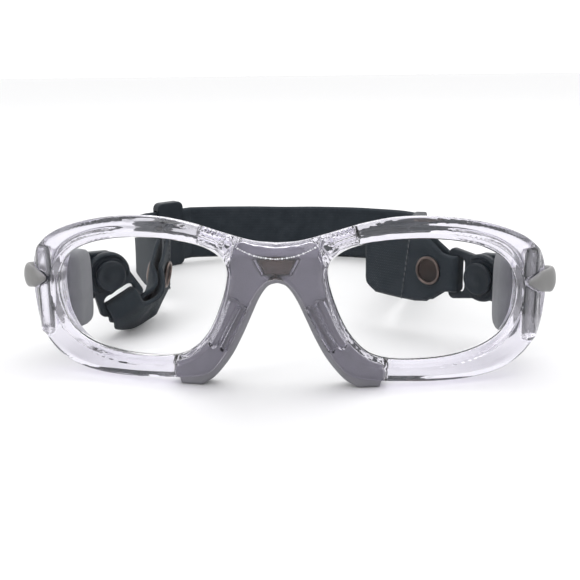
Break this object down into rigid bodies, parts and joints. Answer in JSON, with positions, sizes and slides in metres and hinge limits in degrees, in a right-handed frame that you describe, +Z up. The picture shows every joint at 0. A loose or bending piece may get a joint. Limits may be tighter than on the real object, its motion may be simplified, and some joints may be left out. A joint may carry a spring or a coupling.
{
  "type": "sports protective goggles",
  "caption": "Clear wrap-round sports goggles with rubber nose saddle, side pads, swivelling strap links, press-studded webbing tabs and an elastic head strap.",
  "frame": {"origin": "on the floor, under the middle of the bounding box", "axes": "+X to the wearer's left, +Y from the front of the goggles to the back of the strap, +Z up"},
  "size_m": [0.1476, 0.1742, 0.0467],
  "materials": {
    "clear_plastic": "polished clear injection-moulded plastic, slightly violet",
    "lens": "clear coated lens",
    "grey_rubber": "matt soft-touch rubber",
    "grey_plastic": "satin moulded plastic",
    "black_plastic": "satin moulded plastic",
    "webbing": "woven elastic webbing",
    "gunmetal": "dark bronzed press stud",
    "rivet_steel": "rivet head"
  },
  "bodies": {
    "goggles": {"front_frame": "clear_plastic", "lens_left": "lens", "lens_right": "lens", "nose_pad": "grey_rubber", "side_pad_left": "grey_rubber", "side_pad_right": "grey_rubber", "temple_cap_left": "grey_plastic", "temple_cap_right": "grey_plastic", "link_rivet_left": "rivet_steel", "link_rivet_right": "rivet_steel", "rivet_cap_left": "black_plastic", "rivet_cap_right": "black_plastic", "strap_tab_left": "webbing", "strap_tab_right": "webbing", "press_stud_left": "gunmetal", "press_stud_right": "gunmetal", "stud_cap_left": "gunmetal", "stud_cap_right": "gunmetal", "head_strap": "webbing"},
    "link_left": {"strap_link_left": "black_plastic"},
    "link_right": {"strap_link_right": "black_plastic"},
    "slider_left": {"slider_left": "black_plastic"},
    "slider_right": {"slider_right": "black_plastic"}
  },
  "joints": [
    {"name": "link_left_swivel", "type": "hinge", "parent": "goggles", "child": "link_left", "pos_m": [0.057, -0.0422, 0.021], "axis": [-0.6428, -0.766, 0], "range_deg": [-20, 35], "deforming": ["strap_tab_left"]},
    {"name": "link_right_swivel", "type": "hinge", "parent": "goggles", "child": "link_right", "pos_m": [-0.057, -0.0422, 0.021], "axis": [0.6428, -0.766, 0], "range_deg": [-4, 40], "deforming": ["strap_tab_right"]},
    {"name": "slider_left_slide", "type": "slide", "parent": "goggles", "child": "slider_left", "axis": [0.1961, 0.9806, 0], "range_m": [-0.0044, 0.0044]},
    {"name": "slider_right_slide", "type": "slide", "parent": "goggles", "child": "slider_right", "axis": [-0.6894, -0.7244, 0], "range_m": [-0.0038, 0.0038]}
  ]
}
